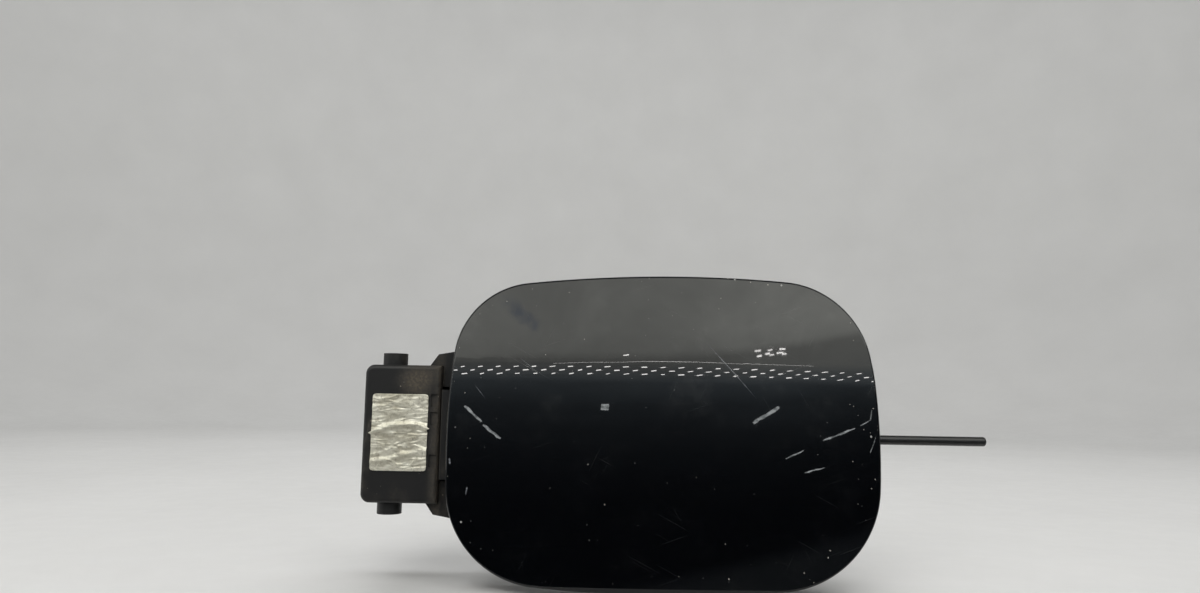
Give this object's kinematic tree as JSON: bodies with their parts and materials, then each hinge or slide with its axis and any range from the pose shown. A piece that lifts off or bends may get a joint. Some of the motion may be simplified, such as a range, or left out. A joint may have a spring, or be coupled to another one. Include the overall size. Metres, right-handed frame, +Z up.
{
  "type": "car fuel door",
  "caption": "Painted car fuel door on a gooseneck hinge, with hinge housing, filler pocket, neck grommet and sliding lock rod.",
  "frame": {"origin": "on the filler neck's axis, in the plane where the pocket meets the neck", "axes": "+X from the hinge to the lock, +Y into the car along the neck, +Z up; the painted face looks to -Y"},
  "size_m": [0.2895, 0.076, 0.1412],
  "materials": {
    "gloss_paint": "gloss",
    "black_plastic": "grained",
    "pale_plastic": "smooth",
    "zinc_steel": "zinc plated",
    "spring_steel": "blued",
    "foil": "crumpled",
    "black_rubber": "matte",
    "satin_black": "satin"
  },
  "bodies": {
    "body_side": {"pocket": "black_plastic", "hinge_housing": "black_plastic", "hinge_back_cover": "black_plastic", "cover_screws": "zinc_steel", "foil_label": "foil", "hinge_pin": "zinc_steel", "hinge_leaf": "spring_steel", "neck_grommet": "black_rubber", "rim_seal": "black_rubber", "rod_guide": "pale_plastic", "rod_seal": "black_rubber", "housing_screws": "zinc_steel", "bump_stop_upper": "black_rubber", "bump_stop_lower": "black_rubber"},
    "door": {"door_skin": "gloss_paint", "door_inner": "black_plastic", "hinge_arm": "black_plastic", "hinge_bush_upper": "pale_plastic", "hinge_bush_lower": "pale_plastic", "arm_screws": "zinc_steel", "lock_striker": "black_plastic", "striker_screws": "zinc_steel", "cap_hook": "black_plastic"},
    "lock": {"lock_rod": "satin_black", "rod_clip": "spring_steel"}
  },
  "joints": [
    {"name": "door_hinge", "type": "hinge", "parent": "body_side", "child": "door", "pos_m": [-0.1233, -0.0405, -0.0046], "axis": [0, 0, -1], "range_deg": [0, 90], "deforming": ["hinge_leaf"]},
    {"name": "lock_rod_slide", "type": "slide", "parent": "body_side", "child": "lock", "axis": [-1, 0, 0], "range_m": [0, 0.012]}
  ]
}
